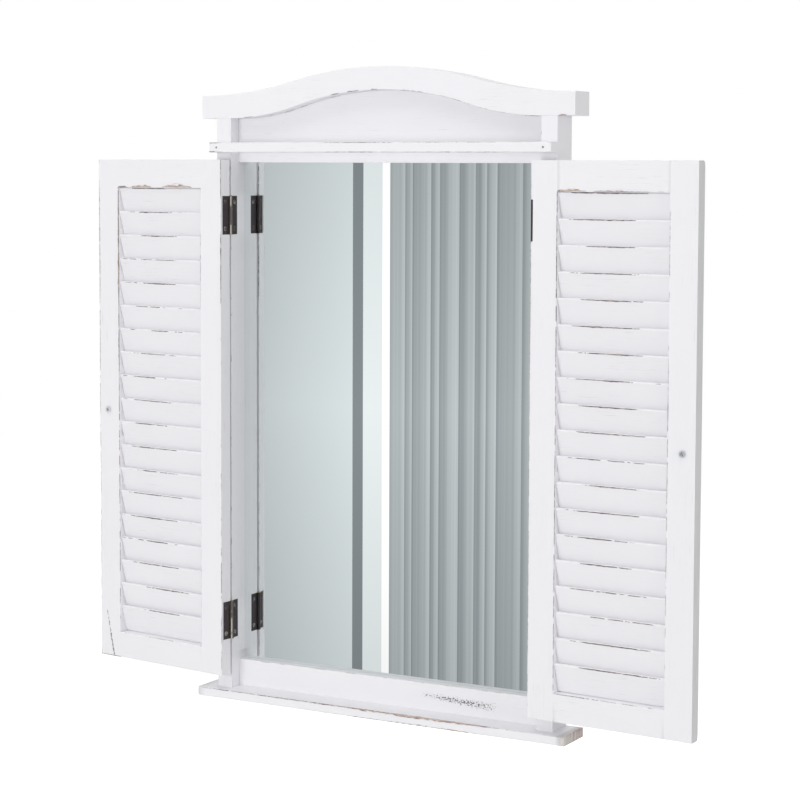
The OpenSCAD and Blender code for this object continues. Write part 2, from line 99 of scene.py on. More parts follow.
def unit_along(axis):
    """A vector of length 1 along an axis."""
    return Vector(float(i == axis) for i in range(3))


def square_edges(shape, least):
    """The edges where two faces meet at no less than an angle in degrees."""
    return [
        e for e in shape.edges
        if len(e.link_faces) == 2 and e.calc_face_angle() >= math.radians(least)
    ]


def round_edges(shape, edges, radius, segments):
    """Rounds edges of a shape to a radius."""
    bmesh.ops.bevel(
        shape, geom=edges, offset=radius, offset_type="OFFSET", segments=segments,
        profile=0.5, affect="EDGES", clamp_overlap=True, material=-1,
    )


def ease_arrises(shape, left_sharp=lambda middle, run: False):
    """Sands the square corners of a board's two faces, and its outer corners, round."""
    planes = [(i, end[i]) for i in range(3) for end in ends_of(shape.verts)]
    picked = []
    for edge in square_edges(shape, 60):
        on = [
            i for i, level in planes
            if all(abs(v.co[i] - level) < on_face for v in edge.verts)
        ]
        first, second = (v.co for v in edge.verts)
        if left_sharp((first + second) / 2, (second - first).normalized()):
            continue
        if Y in on or len(on) > 1:
            picked.append(edge)
    round_edges(shape, picked, eased, segments=3)


def cut_across(shape, axis, level):
    """Cuts a shape's faces where they cross a level of one axis."""
    across = unit_along(axis)
    everything = shape.verts[:] + shape.edges[:] + shape.faces[:]
    bmesh.ops.bisect_plane(
        shape, geom=everything, dist=1e-7, plane_co=across * level, plane_no=across
    )


def slice_along(shape, axis, step):
    """Cuts a board's faces across its length, so that wear can change from place to place."""
    low, high = ends_of(shape.verts)
    slices = int((high[axis] - low[axis]) / step)
    for n in range(1, slices):
        cut_across(shape, axis, low[axis] + (high[axis] - low[axis]) * n / slices)


def round_corner(shape, corner, axes, radius, within=lambda place: True, steps=6):
    """Rounds one long corner of a board: bends the square that it fills into a quarter disc."""
    low, high = ends_of(shape.verts)
    signs = []
    for axis in axes:
        inward = 1 if corner[axis] < (low[axis] + high[axis]) / 2 else -1
        signs.append(inward)
        for n in range(1, steps + 1):
            cut_across(shape, axis, corner[axis] + inward * radius * n / steps)
    for v in shape.verts:
        reach = [
            1 - sign * (v.co[axis] - corner[axis]) / radius for axis, sign in zip(axes, signs)
        ]
        if min(reach) > 0 and within(v.co):
            for axis, sign, own, other in zip(axes, signs, reach, reversed(reach)):
                pulled = own * math.sqrt(1 - other * other / 2)
                v.co[axis] = corner[axis] + sign * radius * (1 - pulled)


def note_wear(shape, name, along, worn, rub, patches=(), edges_at=None, thin=()):
    """Writes what the paint reads: the place along the grain, the distance from each worn
    side, how hard the board was rubbed there, and how thin the coat is on a side. The thin
    coat's grey also stands in as painted shade on some sides.
    A patch that was rubbed harder has a centre, a half length and a strength.
    Sides that weren't rubbed lie far off."""
    low, high = ends_of(shape.verts)
    seed = random.Random(name)
    start = Vector(seed.uniform(0, 3) for _ in range(3))
    grain = shape.verts.layers.float_vector.new("grain")
    from_low = shape.verts.layers.float_vector.new("from_low")
    from_high = shape.verts.layers.float_vector.new("from_high")
    rubbed = shape.verts.layers.float.new("rub")
    thin_coat_and_shade = shape.verts.layers.float.new("thin_coat_and_shade")
    far_off = 1.0
    order = (Z, Y, X) if along == X else (X, Y, Z)
    for v in shape.verts:
        ends = edges_at(v.co, low, high) if edges_at else (low, high)
        v[grain] = start + Vector(v.co[i] for i in order)
        v[from_low] = [
            v.co[i] - ends[0][i] if "-" + "xyz"[i] in worn else far_off for i in range(3)
        ]
        v[from_high] = [
            ends[1][i] - v.co[i] if "+" + "xyz"[i] in worn else far_off for i in range(3)
        ]
        v[rubbed] = rub + sum(
            strength * max(0.0, 1 - ((v.co[along] - centre) / half) ** 4)
            for centre, half, strength in patches
        )
        for side, amount in thin:
            i = "xyz".index(side[1])
            if abs(v.co[i] - ends[side[0] == "+"][i]) < 2 * on_face:
                v[thin_coat_and_shade] = amount


def make_piece(shape, name, body, slot, material, *nodes):
    """Turns a shape into a piece that stands for CAD nodes and rides on their body."""
    bmesh.ops.recalc_face_normals(shape, faces=shape.faces)
    mesh = bpy.data.meshes.new(name)
    shape.to_mesh(mesh)
    shape.free()
    mesh.shade_smooth()
    mesh.set_sharp_from_angle(angle=math.radians(40))
    mesh.materials.append(material)
    piece = bpy.data.objects.new(name, mesh)
    bpy.context.scene.collection.objects.link(piece)
    piece.modifiers.new("even_shading", "WEIGHTED_NORMAL").keep_sharp = True
    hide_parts(*nodes)
    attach(piece, body)


def node_of(tree, kind, *sources, **settings):
    """Adds a shader node and feeds its inputs in order, each from a socket or a value."""
    made = tree.nodes.new(kind)
    for key, value in settings.items():
        setattr(made, key, value)
    for socket, source in zip(made.inputs, sources):
        if isinstance(source, bpy.types.NodeSocket):
            tree.links.new(source, socket)
        elif source is not None:
            socket.default_value = source
    return made


def math_of(tree, operation, *terms):
    """The result of one sum on numbers."""
    return node_of(tree, "ShaderNodeMath", *terms, operation=operation).outputs[0]


def ramp_of(tree, value, start, end, low=0.0, high=1.0):
    """Runs from low to high while the value runs from start to end."""
    return node_of(
        tree, "ShaderNodeMapRange", value, start, end, low, high, clamp=True
    ).outputs[0]


def vector_of(tree, operation, *terms):
    """The result of one sum on vectors."""
    return node_of(tree, "ShaderNodeVectorMath", *terms, operation=operation).outputs[0]


def axes_of(tree, vector):
    """A vector's three parts."""
    return node_of(tree, "ShaderNodeSeparateXYZ", vector).outputs


def clouds_of(tree, place, size, detail=2.0, rough=0.5):
    """Noise whose patches are about as large as size says, along each of three axes."""
    scaled = vector_of(tree, "MULTIPLY", place, [1 / s for s in size])
    return node_of(
        tree, "ShaderNodeTexNoise", scaled, None, 1.0, detail, rough
    ).outputs[0]


def mix_of(tree, amount, first, second):
    """A colour between two others."""
    mixer = tree.nodes.new("ShaderNodeMix")
    mixer.data_type = "RGBA"
    amount_socket, first_colour, second_colour, mixed_colour = 0, 6, 7, 2
    sources = {amount_socket: amount, first_colour: first, second_colour: second}
    for number, source in sources.items():
        socket = mixer.inputs[number]
        if isinstance(source, bpy.types.NodeSocket):
            tree.links.new(source, socket)
        else:
            socket.default_value = (*source, 1)
    return mixer.outputs[mixed_colour]


def attribute_of(tree, name, output="Vector"):
    """What note_wear or note_scar wrote on the vertices."""
    return node_of(tree, "ShaderNodeAttribute", attribute_name=name).outputs[output]


def object_place(tree):
    """The place on the object."""
    return node_of(tree, "ShaderNodeTexCoord").outputs["Object"]


def surface_of(tree, colour, roughness, height, bump_depth, metallic=0.0):
    """The shader itself, with colour, roughness and relief from the pattern."""
    relief = node_of(tree, "ShaderNodeBump", 1.0, bump_depth)
    tree.links.new(height, relief.inputs["Height"])
    shader = tree.nodes.new("ShaderNodeBsdfPrincipled")
    tree.links.new(colour, shader.inputs["Base Color"])
    tree.links.new(roughness, shader.inputs["Roughness"])
    tree.links.new(relief.outputs[0], shader.inputs["Normal"])
    shader.inputs["Metallic"].default_value = metallic
    out = tree.nodes.new("ShaderNodeOutputMaterial")
    tree.links.new(shader.outputs[0], out.inputs[0])


def empty_material(name):
    """A material without any nodes."""
    material = bpy.data.materials.new(name)
    material.use_nodes = True
    material.node_tree.nodes.clear()
    return material


def depth_in_wear(tree, rub, patchy, crumble):
    """How far a point lies inside a rubbed-through stretch of an arris. Paint breaks through
    where rubbing and chance meet, wider and more ragged where it was rubbed harder."""
    nearest = vector_of(
        tree, "MINIMUM", attribute_of(tree, "from_low"), attribute_of(tree, "from_high")
    )
    x, y, z = axes_of(tree, nearest)
    smaller, larger = math_of(tree, "MINIMUM", x, y), math_of(tree, "MAXIMUM", x, y)
    second_nearest = math_of(tree, "MAXIMUM", smaller, math_of(tree, "MINIMUM", larger, z))

    dash_w, ragged_w, closed_w = 0.0014, 0.0011, 0.0012
    chance = math_of(tree, "MULTIPLY_ADD", rub, 0.45, patchy)
    broken_through = ramp_of(tree, chance, 0.64, 0.72)
    harder = math_of(tree, "MULTIPLY", rub, rub)
    ragged = ramp_of(tree, crumble, 0.32, 0.68, 0.0, ragged_w)
    width = math_of(tree, "MULTIPLY_ADD", harder, ragged, dash_w)
    reach = math_of(tree, "MULTIPLY_ADD", width, broken_through, -closed_w)
    return math_of(tree, "SUBTRACT", reach, second_nearest)


def scar_of(tree, crumble, dust):
    """The dark specks of a crack or a scuff, sparser toward its sides and its ends."""
    across, along, strength = axes_of(tree, attribute_of(tree, "scar"))
    wander, half_w = 0.0013, 0.0013
    wandering = math_of(tree, "MULTIPLY_ADD", crumble, 2 * wander, -wander)
    from_line = math_of(tree, "ABSOLUTE", math_of(tree, "ADD", across, wandering))
    widening = math_of(tree, "MULTIPLY_ADD", along, 0.8, 0.6)
    from_line = math_of(tree, "DIVIDE", from_line, widening)
    begun = ramp_of(tree, along, 0.0, 0.06)
    not_over = ramp_of(tree, along, 0.94, 1.0, 1.0, 0.0)
    strength = math_of(tree, "MULTIPLY", strength, math_of(tree, "MULTIPLY", begun, not_over))
    near = ramp_of(tree, from_line, 0.0, half_w, 1.0, 0.0)
    near = math_of(tree, "MULTIPLY", near, strength)
    specks = math_of(tree, "MULTIPLY_ADD", near, 0.3, dust)
    return math_of(
        tree, "MULTIPLY", ramp_of(tree, specks, 0.64, 0.7), ramp_of(tree, near, 0.0, 0.05)
    )


def paint_of(tree, place, fibres, cloud, grimy):
    """The coat itself: two whites in clouds, streaks along the grain, brush marks, grime
    next to the bare wood and a few specks."""
    warm_white, cool_white = (0.885, 0.872, 0.9), (0.86, 0.86, 0.885)
    streak_tone, brush_tone = (0.68, 0.62, 0.62), (0.56, 0.49, 0.49)
    grime_tone, speck_tone = (0.6, 0.55, 0.56), (0.3, 0.26, 0.26)
    worn_area = ramp_of(tree, cloud, 0.5, 0.7)
    streak = math_of(
        tree, "MULTIPLY", ramp_of(tree, fibres, 0.56, 0.78),
        math_of(tree, "MULTIPLY_ADD", worn_area, 0.4, 0.12),
    )
    brushed = clouds_of(tree, place, (0.0011, 0.0011, 0.024), detail=3.0, rough=0.6)
    brushed = math_of(
        tree, "MULTIPLY", ramp_of(tree, brushed, 0.62, 0.72), ramp_of(tree, cloud, 0.42, 0.6)
    )
    specks_a_metre = 22.0
    cell = vector_of(tree, "MULTIPLY", place, [specks_a_metre] * 3)
    from_speck = node_of(tree, "ShaderNodeTexVoronoi", cell).outputs[0]
    speck = ramp_of(tree, from_speck, 0.011, 0.018, 1.0, 0.0)
    paint = mix_of(tree, cloud, warm_white, cool_white)
    paint = mix_of(tree, streak, paint, streak_tone)
    paint = mix_of(tree, math_of(tree, "MULTIPLY", brushed, 0.34), paint, brush_tone)
    paint = mix_of(tree, math_of(tree, "MULTIPLY", grimy, 0.28), paint, grime_tone)
    return mix_of(tree, math_of(tree, "MULTIPLY", speck, 0.6), paint, speck_tone)


def bare_wood_of(tree, rub, crumble):
    """Wood laid bare: dark along a narrow dash, light brown where it was rubbed widely."""
    wide = ramp_of(tree, rub, 0.75, 1.5)
    narrow_wood = mix_of(
        tree, ramp_of(tree, crumble, 0.4, 0.56), (0.28, 0.235, 0.225), (0.085, 0.075, 0.08)
    )
    wide_wood = mix_of(
        tree, ramp_of(tree, crumble, 0.5, 0.62), (0.6, 0.47, 0.41), (0.22, 0.16, 0.14)
    )
    return mix_of(tree, wide, narrow_wood, wide_wood)


def end_grain_of(tree):
    """End grain that shows through a thin coat, browner toward the wall, with dark pores."""
    front, back = -0.04, -0.006
    pores = clouds_of(tree, object_place(tree), (0.0016, 0.0016, 0.03), detail=3.0, rough=0.6)
    toward_back = ramp_of(tree, axes_of(tree, object_place(tree))[Y], front, back)
    end_grain = mix_of(tree, toward_back, (0.76, 0.71, 0.67), (0.56, 0.45, 0.43))
    pore_amount = math_of(
        tree, "MULTIPLY", ramp_of(tree, pores, 0.5, 0.62),
        math_of(tree, "MULTIPLY_ADD", toward_back, 0.65, 0.3),
    )
    return mix_of(tree, pore_amount, end_grain, (0.13, 0.1, 0.1))


def make_painted_wood():
    """White paint on pine: faint fibres and clouds, bare wood where it was rubbed through,
    cracks with dirty lips, end grain that shows through a thin coat, and a grey on thinly
    coated sides that is partly painted shade."""
    material = empty_material("painted_wood")
    tree = material.node_tree
    place = attribute_of(tree, "grain")
    rub = attribute_of(tree, "rub", "Fac")
    coat = attribute_of(tree, "thin_coat_and_shade", "Fac")
    fibres = clouds_of(tree, place, (0.0009, 0.0009, 0.05), detail=4.0, rough=0.65)
    cloud = clouds_of(tree, place, (0.05, 0.05, 0.11), detail=3.0)
    patchy = clouds_of(tree, place, (0.005, 0.005, 0.014), detail=3.0, rough=0.6)
    crumble = clouds_of(tree, place, (0.0011, 0.0011, 0.007), detail=4.0, rough=0.75)
    dust = clouds_of(tree, place, (0.0012, 0.0012, 0.0022), detail=2.0, rough=0.6)

    depth = depth_in_wear(tree, rub, patchy, crumble)
    bare = ramp_of(tree, depth, -0.0001, 0.0002)
    grimy = ramp_of(tree, depth, -0.0014, 0.0001)
    scar = scar_of(tree, crumble, dust)
    scar_tone = (0.13, 0.11, 0.115)
    # The grey of a thin coat, partly painted shade: on the shutters' free edges it stands in for
    # the shade those sides are in.
    thin_coat_grey_and_shade = mix_of(
        tree, ramp_of(tree, fibres, 0.46, 0.7, 0.0, 0.6), (0.66, 0.665, 0.67), (0.44, 0.43, 0.43)
    )
    colour = paint_of(tree, place, fibres, cloud, grimy)
    colour = mix_of(tree, bare, colour, bare_wood_of(tree, rub, crumble))
    colour = mix_of(tree, scar, colour, scar_tone)
    colour = mix_of(tree, ramp_of(tree, coat, 0.0, 0.5), colour, thin_coat_grey_and_shade)
    colour = mix_of(tree, ramp_of(tree, coat, 0.5, 1.0), colour, end_grain_of(tree))

    roughness = math_of(tree, "MULTIPLY_ADD", cloud, 0.16, 0.42)
    roughness = math_of(tree, "MULTIPLY_ADD", bare, 0.3, roughness)
    height = math_of(tree, "MULTIPLY_ADD", fibres, 0.5, math_of(tree, "MULTIPLY", bare, -1.0))
    height = math_of(tree, "SUBTRACT", height, math_of(tree, "MULTIPLY", scar, 2.0))
    surface_of(tree, colour, roughness, height, bump_depth=0.00014)
    return material


painted_wood = make_painted_wood()


def make_board(shape, name, body, node):
    """A board's piece, in painted wood."""
    make_piece(shape, name, body, "painted_wood", painted_wood, node)


sill = worked_copy("sill_board", in_place)
sill_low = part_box("sill_board")[0]
upper_arris_first = Vector((0, 0, 0.0007))
ease_arrises(sill)
slice_along(sill, X, step=0.01)
note_wear(
    sill, "sill", X, ("-y", "-z", "+z", "+x"), rub=0.55,
    patches=[
        (-0.012, 0.2, 0.28), (-0.06, 0.08, 0.2), (0.05, 0.09, 0.5), (0.046, 0.02, 0.35),
        (0.1, 0.05, 0.3), (0.231, 0.006, 0.9), (-0.205, 0.03, 0.22),
    ],
    edges_at=lambda place, low, high: (low - upper_arris_first, high),
    thin=(("+x", 1.0), ("-x", 0.4)),
)
round_corner(sill, Vector((sill_low.x, sill_low.y, 0)), (X, Y), radius=0.002)
round_corner(sill, Vector((sill_low.x, 0, sill_low.z)), (X, Z), radius=0.0025)
make_board(sill, "sill", "frame", "sill_board")

# ---- posts -------------------------------------------------------------------------------
# Two upright pine members, rebated behind for the glass and notched for the hinge leaves,
# with their inner arrises rubbed by the shutters.

for side, inner in (("left", "+x"), ("right", "-x")):
    post = worked_copy(side + "_post", in_place)
    ease_arrises(post)
    slice_along(post, Z, step=0.02)
    note_wear(
        post, side + "_upright", Z, ("-y", inner), rub=0.22, patches=[(-0.35, 0.2, 0.08)]
    )
    make_board(post, side + "_upright", "frame", side + "_post")

# ---- bottom rail -------------------------------------------------------------------------
# A low board housed between the posts, set back so that the shutters close in front of it,
# with a light scuff along its right half.

off_face = 1e-4
crack_w = 0.0007


def note_scar(shape, start, end, facing, strength, width=crack_w, fades=0.0):
    """Marks a straight crack, or a wider scuff that fades toward both ends, on the face
    that one axis meets squarely."""
    scar = shape.verts.layers.float_vector.new("scar")
    run = Vector(end) - Vector(start)
    length = run.length
    run.normalize()
    side = run.cross(unit_along(facing))
    for v in shape.verts:
        off = v.co - Vector(start)
        along = off.dot(run) / length
        kept = 1 - fades * min(1.0, (2 * along - 1) ** 2)
        if abs(off[facing]) > off_face:
            kept = 0
        v[scar] = (off.dot(side) * crack_w / width, along, strength * kept)


rail = worked_copy("bottom_rail", in_place)
ease_arrises(rail)
slice_along(rail, X, step=0.01)
note_wear(rail, "low_rail", X, ("-y", "+z"), rub=0.34)
rail_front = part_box("bottom_rail")[0].y
note_scar(
    rail, (0.044, rail_front, -0.6015), (0.137, rail_front, -0.6065), Y,
    strength=0.6, width=0.0024, fades=0.6,
)
make_board(rail, "low_rail", "frame", "bottom_rail")

# ---- head board --------------------------------------------------------------------------
# The board above the glass. Its top follows the arch under the crown, an ogee of two
# hollow feet and a round crest.

arch_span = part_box("right_post")[0].x
arch_rise, arch_crest = 0.0295, 0.35
post_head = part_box("right_post")[1].z


def ogee_height(x, span, rise, crest):
    """Height at x of an ogee that rises over |x| <= span to a crest of the given radius."""
    x = min(abs(x), span)
    both = (span * span + rise * rise) / (2 * rise)
    foot = both - crest
    if x < span * crest / both:
        return rise - crest + math.sqrt(crest * crest - x * x)
    return foot - math.sqrt(foot * foot - (span - x) ** 2)


def arch_height(x):
    """Height at x of the joint between the head board and the crown."""
    return post_head + ogee_height(x, arch_span, arch_rise, arch_crest)


head = worked_copy("head_board", in_place)
ease_arrises(head)
slice_along(head, X, step=0.008)
note_wear(
    head, "head", X, ("-y", "+z"), rub=0.15,
    patches=[(0.09, 0.1, 0.6), (-0.1, 0.06, 0.35)],
    edges_at=lambda place, low, high: (low, Vector((high.x, high.y, arch_height(place.x)))),
)
make_board(head, "head", "frame", "head_board")

# ---- crown board -------------------------------------------------------------------------
# One thick board sawn to an ogee above and to the arch below, dowelled to the posts and
# chipped here and there along its lower arris.

crown_rise, crown_crest = 0.0295, 0.44


def crown_edges(place, low, high):
    """The crown's sides at a place, where its underside and its top lie just there."""
    over = high.z - crown_rise + ogee_height(place.x, high.x, crown_rise, crown_crest)
    return Vector((low.x, low.y, arch_height(place.x))), Vector((high.x, high.y, over))


crown = worked_copy("crown_board", in_place)
ease_arrises(crown)
slice_along(crown, X, step=0.004)
note_wear(
    crown, "crown", X, ("-y", "-z"), rub=0.12,
    patches=[
        (-0.171, 0.009, 0.5), (-0.057, 0.006, 0.9), (-0.0385, 0.004, 0.8),
        (-0.031, 0.004, 0.8), (-0.009, 0.004, 0.7), (0.216, 0.004, 1.2), (0.08, 0.095, 0.36),
    ],
    edges_at=crown_edges, thin=(("-z", 0.1),),
)
make_board(crown, "crown", "frame", "crown_board")

# ---- ledge -------------------------------------------------------------------------------
# A slim batten across the fronts of the posts, under the head board's arch. A brad through
# each end holds it.

ledge = worked_copy("ledge_batten", in_place)
ease_arrises(ledge)
slice_along(ledge, X, step=0.006)
note_wear(
    ledge, "ledge", X, ("-y", "-z", "+z"), rub=0.28,
    patches=[(-0.02, 0.05, 0.55), (0.1, 0.09, 0.4), (-0.204, 0.009, 0.8)],
)
make_board(ledge, "ledge", "frame", "ledge_batten")


def make_metal(name, colour, worn_and_highlight_colour, metallic, roughness, rubbed, painted_highlight=None):
    """A plated or bronzed metal, clouded and scratched, with brighter rubbed spots, and a
    painted highlight where painted_highlight says so."""
    material = empty_material(name)
    tree = material.node_tree
    place = object_place(tree)
    cloud = clouds_of(tree, place, (0.006, 0.006, 0.006), detail=4.0, rough=0.6)
    scratch = clouds_of(tree, place, (0.0006, 0.0006, 0.008), detail=3.0, rough=0.7)
    both = math_of(tree, "MULTIPLY", cloud, scratch)
    bright = ramp_of(tree, both, rubbed, rubbed + 0.1)
    if painted_highlight:
        bright = math_of(tree, "MAXIMUM", bright, painted_highlight(tree, place))
    tone = mix_of(tree, bright, colour, worn_and_highlight_colour)
    rough = math_of(tree, "MULTIPLY_ADD", cloud, 0.25, roughness - 0.12)
    surface_of(tree, tone, rough, scratch, bump_depth=0.00003, metallic=metallic)
    return material


dull_steel = make_metal(
    "dull_steel", (0.4, 0.38, 0.37), (0.6, 0.58, 0.56),
    metallic=0.6, roughness=0.5, rubbed=0.34,
)


def keep_node(node, material):
    """A CAD node whose own shape is shown, with a finish of its own."""
    shown = frame["nodes"][node]
    shown.data.materials.clear()
    shown.data.materials.append(material)


keep_node("ledge_brads", dull_steel)

# ---- dowels and sill screws --------------------------------------------------------------
# Beech dowels join the crown to the heads of the posts. Long cross-head screws come up
# through the sill into their feet.


def make_raw_wood(name, light, dark):
    """Bare wood or board, mottled and fibrous."""
    material = empty_material(name)
    tree = material.node_tree
    place = object_place(tree)
    fibres = clouds_of(tree, place, (0.0012, 0.0012, 0.006), detail=5.0, rough=0.7)
    flecks = clouds_of(tree, place, (0.0025, 0.0025, 0.004), detail=4.0, rough=0.75)
    cloud = clouds_of(tree, place, (0.06, 0.06, 0.06), detail=2.0)
    amount = math_of(tree, "MULTIPLY_ADD", cloud, 0.3, math_of(tree, "MULTIPLY", fibres, 0.4))
    amount = math_of(tree, "MULTIPLY_ADD", flecks, 0.4, amount)
    tone = mix_of(tree, ramp_of(tree, amount, 0.3, 0.8), light, dark)
    rough = math_of(tree, "MULTIPLY_ADD", fibres, 0.2, 0.65)
    surface_of(tree, tone, rough, fibres, bump_depth=0.0001)
    return material


def solids_in(shape):
    """Lowest and highest corner of each separate solid in a shape, in order of place."""
    waiting = set(shape.verts)
    found = []
    while waiting:
        reached = [waiting.pop()]
        for v in reached:
            for edge in v.link_edges:
                other = edge.other_vert(v)
                if other in waiting:
                    waiting.remove(other)
                    reached.append(other)
        found.append(ends_of(reached))
    return sorted(found, key=lambda ends: [round(c, 5) for c in (*ends[0], *ends[1])])


def join_to(whole, part):
    """Adds a finished shape to a larger one."""
    made = bpy.data.meshes.new("part")
    part.to_mesh(made)
    part.free()
    whole.from_mesh(made)
    bpy.data.meshes.remove(made)


def cut_screw(head_r, shank_r, length):
    """A cross-head screw along -Z, with the face of its countersunk head at the origin."""
    screw = bmesh.new()
    level_with = 1e-7
    rim = head_r * 0.08
    neck = rim + head_r - shank_r
    profile = [
        (head_r - rim / 2, 0), (head_r, -rim / 2), (head_r, -rim), (shank_r, -neck),
        (shank_r, -length * 0.8), (shank_r * 0.2, -length),
    ]
    verts = [screw.verts.new((x, 0, z)) for x, z in profile]
    edges = [screw.edges.new(pair) for pair in zip(verts, verts[1:])]
    bmesh.ops.spin(
        screw, geom=verts + edges, cent=(0, 0, 0), axis=(0, 0, 1), angle=2 * math.pi,
        steps=24, use_merge=True,
    )
    for level in (0, -length):
        ring = [
            e for e in screw.edges if all(abs(v.co.z - level) < level_with for v in e.verts)
        ]
        bmesh.ops.contextual_create(screw, geom=ring)

    def top_faces():
        return [f for f in screw.faces if all(abs(v.co.z) < level_with for v in f.verts)]

    arm, slot, sunk_by, narrowed = head_r * 0.6, head_r * 0.13, head_r * 0.45, 0.75
    for axis in (X, Y):
        across = unit_along(axis)
        for level in (-arm, -slot, slot, arm):
            top = top_faces()
            rims = {e for f in top for e in f.edges} | {v for f in top for v in f.verts}
            bmesh.ops.bisect_plane(
                screw, geom=top + list(rims), dist=1e-8, plane_co=across * level,
                plane_no=across,
            )
    cross = []
    for f in top_faces():
        x, y, _ = f.calc_center_median()
        if min(abs(x), abs(y)) < slot and max(abs(x), abs(y)) < arm:
            cross.append(f)
    sunk = bmesh.ops.extrude_face_region(screw, geom=cross)["geom"]
    floor = [v for v in sunk if isinstance(v, bmesh.types.BMVert)]
    bmesh.ops.delete(screw, geom=cross, context="FACES_ONLY")
    for v in floor:
        v.co = (v.co.x * narrowed, v.co.y * narrowed, -sunk_by)
    return screw


def make_screws(name, body, slot, material, node, home, heads_to):
    """Cross-head screws in place of a node's plain ones. Their heads are toward a side,
    such as +y, or with |x toward the middle from both sides."""
    axis = "xyz".index(heads_to[1])
    plain = worked_copy(node, home)
    screws = bmesh.new()
    for low, high in solids_in(plain):
        middle = (low + high) / 2
        sign = {"+": 1, "-": -1, "|": -math.copysign(1, middle.x)}[heads_to[0]]
        outward = unit_along(axis) * sign
        head_at = middle + outward * (high[axis] - low[axis]) / 2
        head_r = max((high - low)[i] for i in range(3) if i != axis) / 2
        screw = cut_screw(head_r, head_r * 0.52, high[axis] - low[axis])
        turn = random.Random(f"{name} {head_at.z:.4f}").uniform(0, 1.5)
        aim = outward.to_track_quat("Z", "Y").to_matrix().to_4x4()
        place = home @ Matrix.Translation(head_at) @ aim @ Matrix.Rotation(turn, 4, "Z")
        bmesh.ops.transform(screw, matrix=place, verts=screw.verts)
        join_to(screws, screw)
    plain.free()
    make_piece(screws, name, body, slot, material, node)


keep_node("crown_dowels", make_raw_wood("beech", (0.62, 0.42, 0.24), (0.45, 0.28, 0.15)))
zinc_steel = make_metal(
    "zinc_steel", (0.7, 0.71, 0.73), (0.88, 0.89, 0.9),
    metallic=0.8, roughness=0.45, rubbed=0.25,
)
make_screws("sill_fixings", "frame", "zinc_steel", zinc_steel, "sill_screws", in_place, "-z")

# ---- mirror ------------------------------------------------------------------------------
# Flat silvered float glass, 3 mm thick. It lies in the posts' rebates, behind the bottom
# rail and the head board.


def make_silvered_glass():
    """A clean mirror with the faint green of float glass and a barely visible bloom."""
    material = empty_material("silvered_glass")
    tree = material.node_tree
    place = object_place(tree)
    bloom = clouds_of(tree, place, (0.09, 0.09, 0.14), detail=3.0)
    ripple = clouds_of(tree, place, (0.25, 0.25, 0.25), detail=1.0)
    tone = mix_of(tree, bloom, (0.885, 0.915, 0.91), (0.86, 0.895, 0.89))
    rough = ramp_of(tree, bloom, 0.45, 0.8, 0.002, 0.012)
    surface_of(tree, tone, rough, ripple, bump_depth=0.00001, metallic=1.0)
    return material


keep_node("mirror_glass", make_silvered_glass())

# ---- backing board -----------------------------------------------------------------------
# Thin brown hardboard behind the glass, which keeps the silvering from harm. Small steel
# pins hold it in the rebates.

keep_node("backing_board", make_raw_wood("hardboard", (0.25, 0.14, 0.07), (0.075, 0.04, 0.02)))
keep_node("backing_pins", zinc_steel)

# ---- hangers -----------------------------------------------------------------------------
# Zinc-plated keyhole plates, let into the backs of the posts and held with two screws
# each. The wall's screws go in through their round holes.

keep_node("left_hanger", zinc_steel)
keep_node("right_hanger", zinc_steel)
make_screws("hanger_fixings", "frame", "zinc_steel", zinc_steel, "hanger_screws", in_place, "+y")

# ---- shutter stiles and rails ------------------------------------------------------------
# Each shutter is a frame of two full-height stiles with two rails tenoned between them.
# The boards are drawn as the closed shutter has them, from its hinge axis, and swung open.

shutter_w, stile_w = 0.19, 0.031
shutter_t, behind_axis = 0.0155, 0.0017
inner_face = behind_axis + shutter_t
joint_play = 0.001
free_edge_w, free_corner_r = 0.015, 0.006


def joint_of(side):
    """The joint on which a shutter swings."""
    return next(j for j in frame["joints"] if j["name"] == side + "_shutter_hinge")


def swing_of(side):
    """Takes a closed right-hand shutter, drawn from its hinge axis, to where it stands."""
    hinge = joint_of(side)
    x, y, _ = hinge["pos_m"]
    opening = math.radians(hinge["range_deg"][1])
    swung = Matrix.Translation((abs(x), y, 0)) @ Matrix.Rotation(opening, 4, "Z")
    return Matrix.Scale(-1, 4, (1, 0, 0)) @ swung if side == "left" else swung


def opening_ends(side):
    """The foot and the top of the opening that the louvres fill."""
    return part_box(side + "_bottom_rail")[1].z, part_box(side + "_top_rail")[0].z


def make_stile(side, part, inner, worn, patches, thin=(), scar=None):
    """A stile, whose inner arris is eased and worn only along the louvred opening."""
    name = side + "_shutter_" + part
    swing = swing_of(side)
    foot, top = opening_ends(side)
    inner_x = -stile_w if inner == "-x" else stile_w - shutter_w
    shape = worked_copy(side + "_" + part, swing)

    def by_a_rail(middle, run):
        return abs(middle.x - inner_x) < off_face and not foot < middle.z < top

    def free_of_rails(place, low, high):
        beyond = max(foot - place.z, place.z - top, 0) / joint_play
        apart = Vector((min(beyond, 1) * 0.5, 0, 0))
        return (low - apart, high) if inner == "-x" else (low, high + apart)

    for level in (foot, top):
        cut_across(shape, Z, level)
    ease_arrises(shape, by_a_rail)
    slice_along(shape, Z, step=0.01)
    for level in (foot - joint_play, top + joint_play):
        cut_across(shape, Z, level)
    note_wear(
        shape, name, Z, worn, rub=0.2, patches=patches, edges_at=free_of_rails, thin=thin
    )
    if scar:
        note_scar(shape, *scar, Y, strength=0.82)
    if part == "lock_stile":
        low, high = ends_of(shape.verts)
        rounded_until = low.x + free_edge_w
        cut_across(shape, X, rounded_until)
        for level in (low.z, high.z):
            round_corner(
                shape, Vector((0, low.y, level)), (Y, Z), free_corner_r,
                lambda place: place.x < rounded_until + on_face,
            )
    bmesh.ops.transform(shape, matrix=swing, verts=shape.verts)
    make_board(shape, name, side + "_shutter", side + "_" + part)


